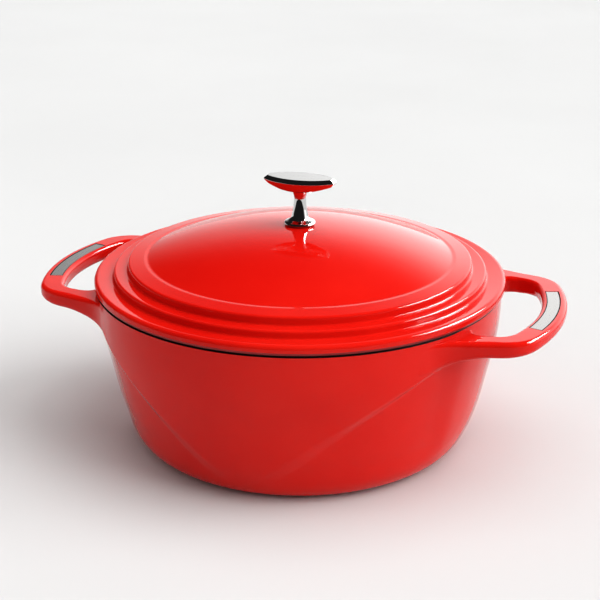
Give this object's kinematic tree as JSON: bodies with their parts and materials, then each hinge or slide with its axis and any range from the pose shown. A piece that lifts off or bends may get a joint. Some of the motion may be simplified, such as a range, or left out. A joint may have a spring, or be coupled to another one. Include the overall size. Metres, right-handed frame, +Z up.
{
  "type": "dutch oven",
  "caption": "Round enamelled cast iron pot with loop handles and a stepped domed lid that lifts off by a T-shaped metal knob.",
  "frame": {"origin": "centre of the foot ring, on the surface the pot stands on", "axes": "+Z up along the axis of the bowl, +X along the line through the two loop handles"},
  "size_m": [0.367, 0.2826, 0.1857],
  "materials": {
    "pot_enamel": "gloss red porcelain enamel on cast iron",
    "lid_enamel": "gloss red porcelain enamel on cast iron",
    "polished_steel": "polished stainless steel",
    "fastener_steel": "plain stainless steel",
    "badge_steel": "satin stainless steel"
  },
  "bodies": {
    "pot": {"pot_body": "pot_enamel", "badge_right": "badge_steel", "badge_left": "badge_steel"},
    "lid": {"lid": "lid_enamel", "knob": "polished_steel", "knob_screw": "fastener_steel", "knob_flat_washer": "fastener_steel", "knob_lock_washer": "fastener_steel"}
  },
  "joints": [
    {"name": "lid_lift", "type": "slide", "parent": "pot", "child": "lid", "axis": [0, 0, 1], "range_m": [0, 0.15]}
  ]
}
